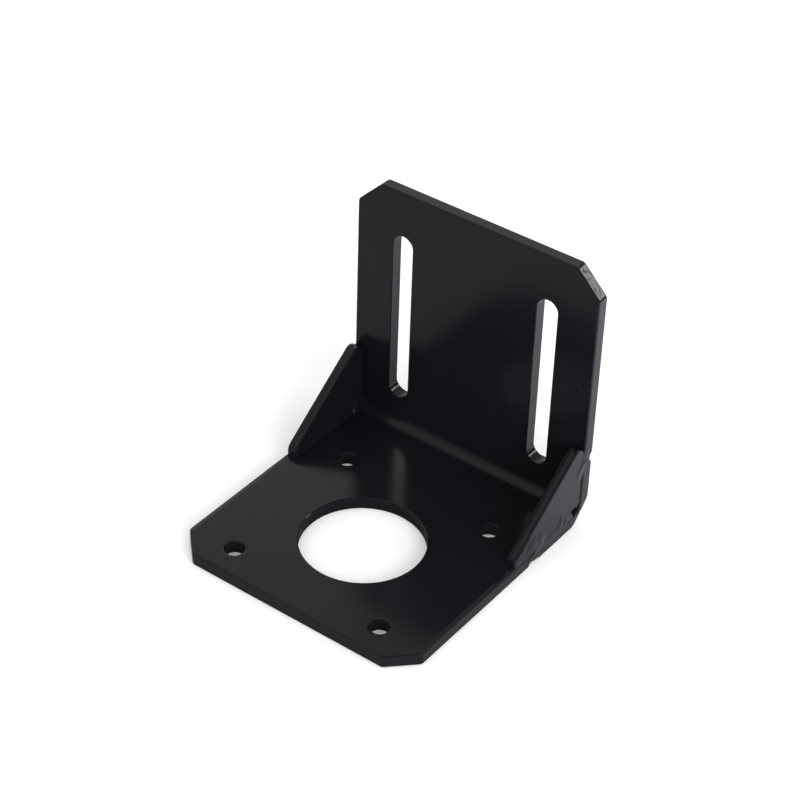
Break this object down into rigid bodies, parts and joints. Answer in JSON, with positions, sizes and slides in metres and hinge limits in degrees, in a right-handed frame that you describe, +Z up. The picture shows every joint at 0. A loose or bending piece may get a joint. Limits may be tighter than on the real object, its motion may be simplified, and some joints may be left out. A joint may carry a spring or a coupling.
{
  "type": "motor mounting bracket",
  "caption": "Welded steel angle bracket: a square-flange stepper motor bolts to its pierced base, and long slots in its upright let it slide on a machine frame.",
  "frame": {"origin": "on the axis of the motor pilot hole, in the plane of the base's underside", "axes": "+Z up along the pilot axis, +Y from the free end of the base towards the upright, +X along the fold"},
  "size_m": [0.05, 0.053, 0.0515],
  "materials": {
    "black_paint": "gloss",
    "painted_weld": "gloss"
  },
  "bodies": {
    "root": {"angle_plate": "black_paint", "left_gusset": "black_paint", "right_gusset": "black_paint", "tack_welds": "painted_weld"}
  },
  "joints": []
}
